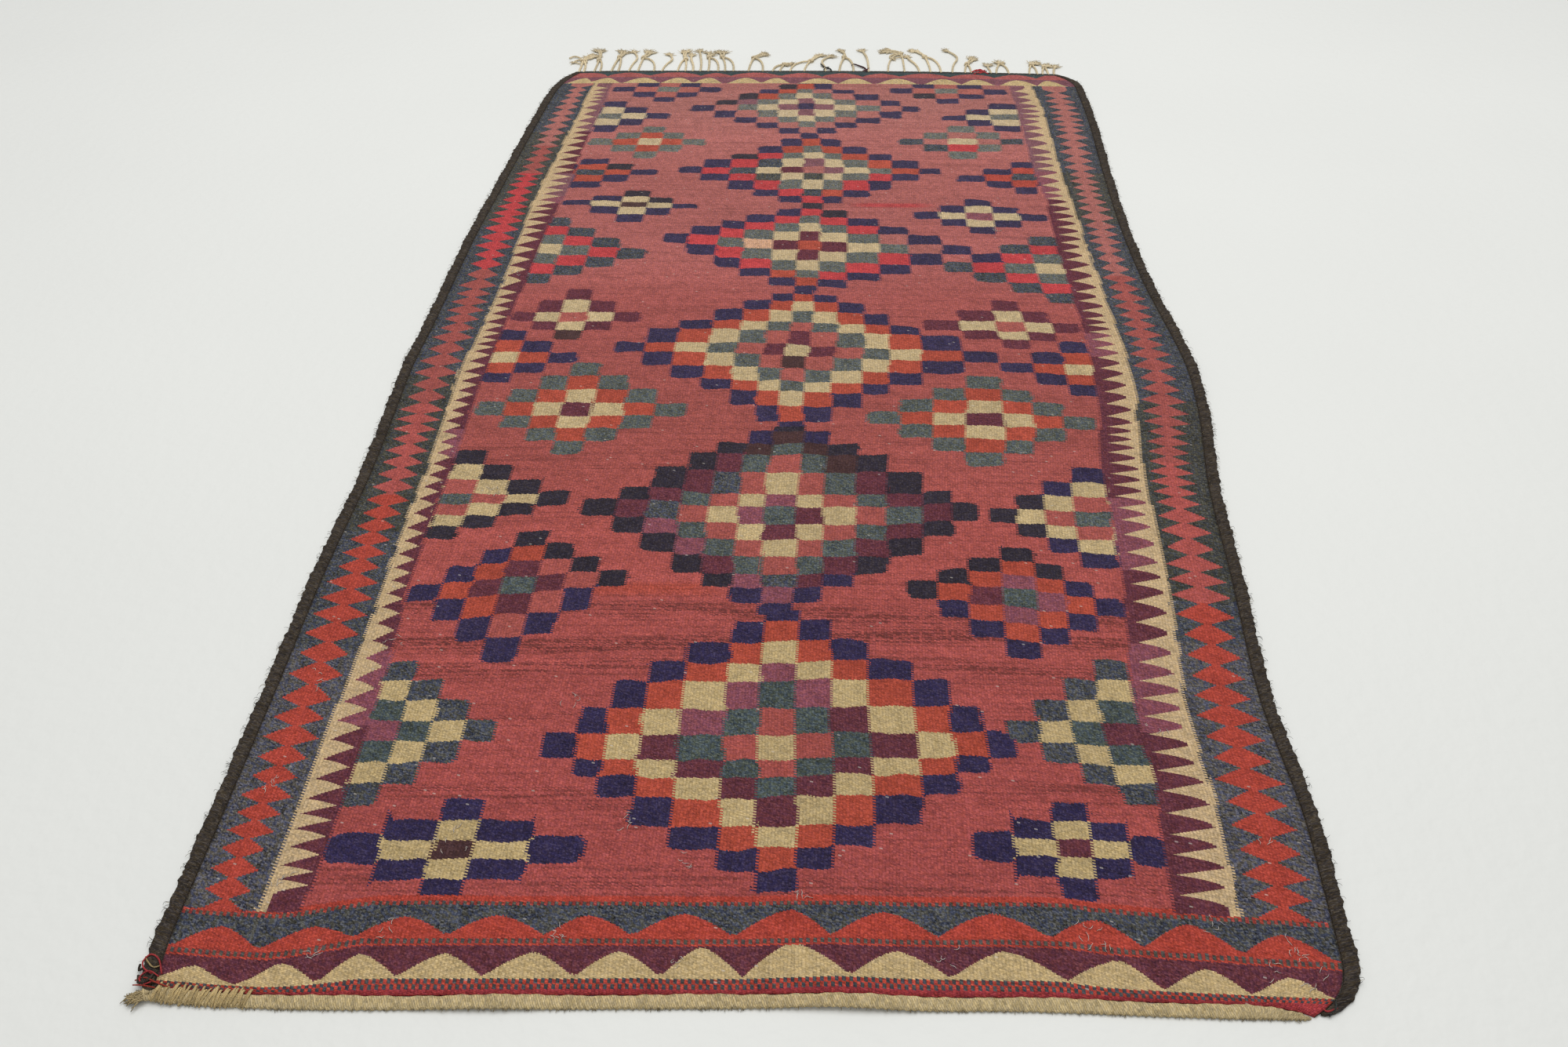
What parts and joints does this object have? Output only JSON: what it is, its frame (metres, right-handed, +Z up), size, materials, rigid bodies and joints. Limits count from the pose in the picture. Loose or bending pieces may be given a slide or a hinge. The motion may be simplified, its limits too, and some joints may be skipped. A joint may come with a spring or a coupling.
{
  "type": "kilim rug",
  "caption": "Flat-woven wool kilim rug lying on the floor, with bound sides, a plaited near end and a knotted warp fringe.",
  "frame": {"origin": "on the floor, under the middle of the whole rug with its fringe", "axes": "+X across the rug to the picture's right, +Y along the rug from the plaited end to the fringe, +Z up"},
  "size_m": [1.6122, 3.1436, 0.0098],
  "materials": {
    "woven_wool": "matte flat weave",
    "goat_hair_binding": "coarse overcast hair",
    "plaited_warp": "matte plaited wool",
    "fringe_wool": "matte twisted wool"
  },
  "bodies": {
    "root": {"kilim_cloth": "woven_wool", "selvedge_left": "goat_hair_binding", "selvedge_right": "goat_hair_binding", "end_band_near": "plaited_warp", "fringe_far": "fringe_wool"}
  },
  "joints": []
}
